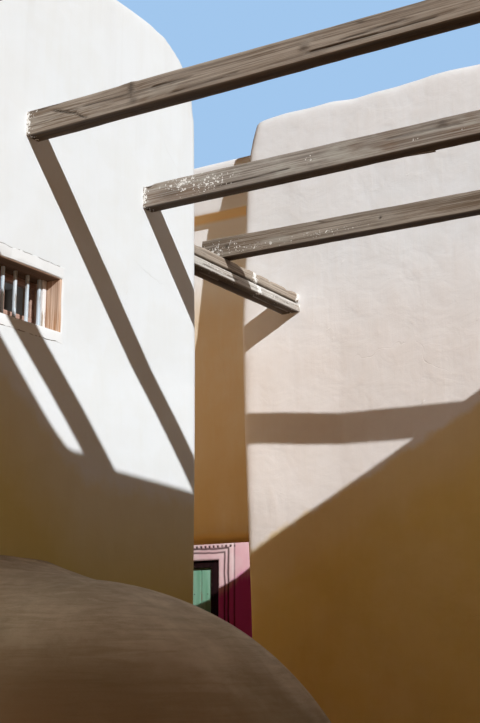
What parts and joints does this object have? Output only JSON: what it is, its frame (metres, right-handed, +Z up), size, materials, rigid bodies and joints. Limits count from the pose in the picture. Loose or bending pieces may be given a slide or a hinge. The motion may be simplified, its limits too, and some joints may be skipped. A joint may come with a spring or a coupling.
{
  "type": "adobe house",
  "caption": "Lime-washed adobe house: two tall wings round a passage with socketed timber beams, a portal wall, a domed oven and a painted door room behind.",
  "frame": {"origin": "ground level, in the middle of the outline seen from above", "axes": "+X along the front of the left wing towards the passage, +Y away from the yard, +Z up"},
  "size_m": [11.4, 8.55, 5.79],
  "materials": {
    "lime_wash": "matte",
    "cream_wash": "matte",
    "ochre_plaster": "matte",
    "pink_wash": "matte",
    "surround_paint": "matte",
    "oven_plaster": "matte",
    "earth": "matte",
    "beam_timber": "matte",
    "window_timber": "matte",
    "green_paint": "matte",
    "crimson_paint": "matte",
    "iron": "matte"
  },
  "bodies": {
    "house": {"left_front_wall": "lime_wash", "left_passage_wall": "lime_wash", "left_rear_wall": "lime_wash", "left_end_wall": "lime_wash", "left_floor": "earth", "left_roof": "earth", "front_window_lining": "window_timber", "side_window_linings": "window_timber", "left_rear_door": "green_paint", "pergola_beam_1": "beam_timber", "pergola_beam_2": "beam_timber", "pergola_beam_3": "beam_timber", "pergola_beam_4": "beam_timber", "cross_beam": "beam_timber", "yard_wall": "lime_wash", "right_passage_wall": "cream_wash", "right_court_wall": "cream_wash", "right_end_wall": "cream_wash", "right_yard_wall": "cream_wash", "right_floor": "earth", "right_roof": "earth", "right_court_door": "green_paint", "portal_pier": "ochre_plaster", "portal_head": "ochre_plaster", "portal_course": "ochre_plaster", "door_wall_near": "pink_wash", "door_wall_far": "pink_wash", "door_wall_head": "pink_wash", "rear_wall": "ochre_plaster", "room_end_wall": "ochre_plaster", "room_near_wall": "ochre_plaster", "room_floor_slab": "earth", "room_roof": "earth", "door_frame": "crimson_paint", "door_pintles": "iron", "door_surround": "surround_paint", "door_step": "earth", "oven_dome": "oven_plaster", "oven_cove": "oven_plaster", "oven_hearth": "earth"},
    "door": {"door_leaf": "green_paint"}
  },
  "joints": [
    {"name": "door_hinge", "type": "hinge", "parent": "house", "child": "door", "pos_m": [3.262, 3.059, 1.4], "axis": [0, 0, 1], "range_deg": [0, 90]}
  ]
}
